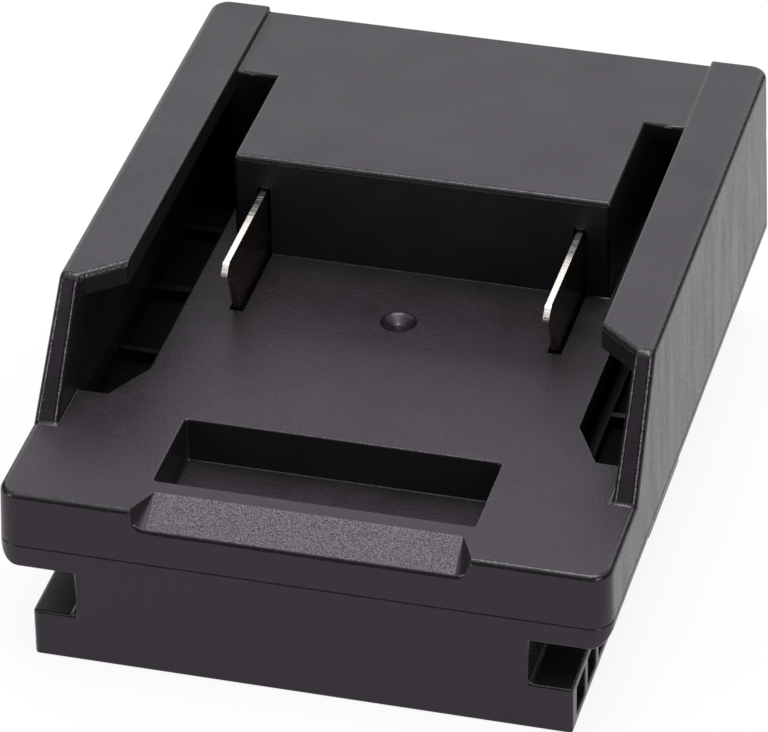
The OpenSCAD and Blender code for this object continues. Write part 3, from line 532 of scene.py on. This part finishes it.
# Table and light: a white table under a broad overhead light and a smaller key light, with one large
# light behind and a small one to each side of the front. The table lies a hair below the foot and is
# clear from underneath, so that the underside can be looked at too.
def white_laminate(tree):
    """White laminate: the camera sees it white, with a little of the object's own shadow left on it."""
    glow_share = 0.9
    place = node(tree, "ShaderNodeTexCoord").outputs["Object"]
    cloud = node(tree, "ShaderNodeTexNoise", {"vector": place}, scale=4.0)
    tone = node(tree, "ShaderNodeMapRange", {"value": cloud.outputs["Fac"]}, to_min=0.88, to_max=0.9)
    matt = node(tree, "ShaderNodeBsdfDiffuse", {"color": tone.outputs["Result"]})
    ray = node(tree, "ShaderNodeLightPath")
    hue = node(tree, "ShaderNodeMix", {"factor": ray.outputs["Is Glossy Ray"]}, data_type="RGBA")
    hue.inputs[6].default_value = (1, 1, 1, 1)
    hue.inputs[7].default_value = (0.785, 0.76, 0.79, 1)
    glow = node(tree, "ShaderNodeEmission", {"color": hue.outputs[2]}, strength=1.0)
    seen = node(tree, "ShaderNodeMath", {0: ray.outputs["Is Camera Ray"], 1: ray.outputs["Is Glossy Ray"]},
                operation="MAXIMUM")
    seen = node(tree, "ShaderNodeMath", {0: seen.outputs[0], 1: ray.outputs["Is Transmission Ray"]},
                operation="MAXIMUM")
    share = node(tree, "ShaderNodeMath", {0: seen.outputs[0]}, operation="MULTIPLY")
    share.inputs[1].default_value = glow_share
    top = node(tree, "ShaderNodeMixShader", {0: share.outputs[0], 1: matt.outputs[0], 2: glow.outputs[0]})
    clear = node(tree, "ShaderNodeBsdfTransparent")
    below = node(tree, "ShaderNodeNewGeometry").outputs["Backfacing"]
    return node(tree, "ShaderNodeMixShader", {0: below, 1: top.outputs[0], 2: clear.outputs[0]}).outputs[0]


table_half, table_z = 3, -0.05 * MM
bm = bmesh.new()
bmesh.ops.create_grid(bm, x_segments=1, y_segments=1, size=table_half,
                      matrix=Matrix.Translation((0, 0, table_z)))
mesh = bpy.data.meshes.new("table")
bm.to_mesh(mesh)
bm.free()
mesh.materials.append(finish("white_laminate", white_laminate))
table = bpy.data.objects.new("table", mesh)
bpy.context.scene.collection.objects.link(table)

studio = bpy.data.worlds.new("studio")
bpy.context.scene.world = studio
studio.use_nodes = True
room = studio.node_tree
room.nodes.clear()
dim = node(room, "ShaderNodeBackground", color=(1, 1, 1, 1), strength=0.12)
paper = node(room, "ShaderNodeBackground", color=(1, 1, 1, 1), strength=1.0)
ray = node(room, "ShaderNodeLightPath")
sky = node(room, "ShaderNodeMixShader", {
    0: ray.outputs["Is Camera Ray"], 1: dim.outputs[0], 2: paper.outputs[0]})
node(room, "ShaderNodeOutputWorld", {"surface": sky.outputs[0]})


def softbox(name, place, aim, width, height, radiance):
    """A rectangular light, sized in metres, of the given radiance."""
    lamp = bpy.data.lights.new(name, "AREA")
    lamp.shape = "RECTANGLE"
    lamp.size, lamp.size_y = width, height
    lamp.energy = radiance * math.pi * width * height
    made = bpy.data.objects.new(name, lamp)
    made.location = place
    made.rotation_mode = "QUATERNION"
    made.rotation_quaternion = (Vector(aim) - Vector(place)).to_track_quat("-Z", "Y")
    bpy.context.scene.collection.objects.link(made)


softbox("overhead", (0, 0.2, 0.62), (0, 0.2, 0), 1.3, 1.4, 0.9)
softbox("key", (0.02, 0.02, 0.6), (0, 0, 0.02), 0.42, 0.28, 4.8)
softbox("rear", (-0.15, 1.1, 0.45), (0, 0, 0.03), 1.5, 0.8, 1.2)
softbox("left", (-0.75, -0.5, 0.36), (0, 0, 0.02), 0.3, 0.36, 4.5)
softbox("right", (0.65, -0.6, 0.42), (0, 0, 0.02), 0.3, 0.36, 5.5)

# Camera: a long lens a little to the right of the front, looking down at about a third of a right angle.
# Its place and turn were fitted to the edges of the object as photographed.
target = Vector((-1.67856, -1.4, 17.04547)) * MM
distance, lens, sensor = 0.70573068, 261.165, 36
azimuth, elevation, roll = (math.radians(d) for d in (15.06776, 33.76255, -0.68803))
back = Vector((math.sin(azimuth) * math.cos(elevation), -math.cos(azimuth) * math.cos(elevation),
               math.sin(elevation)))
camera = bpy.data.objects.new("camera", bpy.data.cameras.new("camera"))
bpy.context.scene.collection.objects.link(camera)
camera.data.sensor_width = sensor
camera.data.sensor_fit = "HORIZONTAL"
camera.data.lens = lens
camera.data.clip_start, camera.data.clip_end = 0.05, 20
camera.location = target + back * distance
camera.rotation_mode = "QUATERNION"
camera.rotation_quaternion = (-back).to_track_quat("-Z", "Y") @ Quaternion((0, 0, 1), roll)
bpy.context.scene.camera = camera
bpy.context.scene.view_settings.view_transform = "Standard"
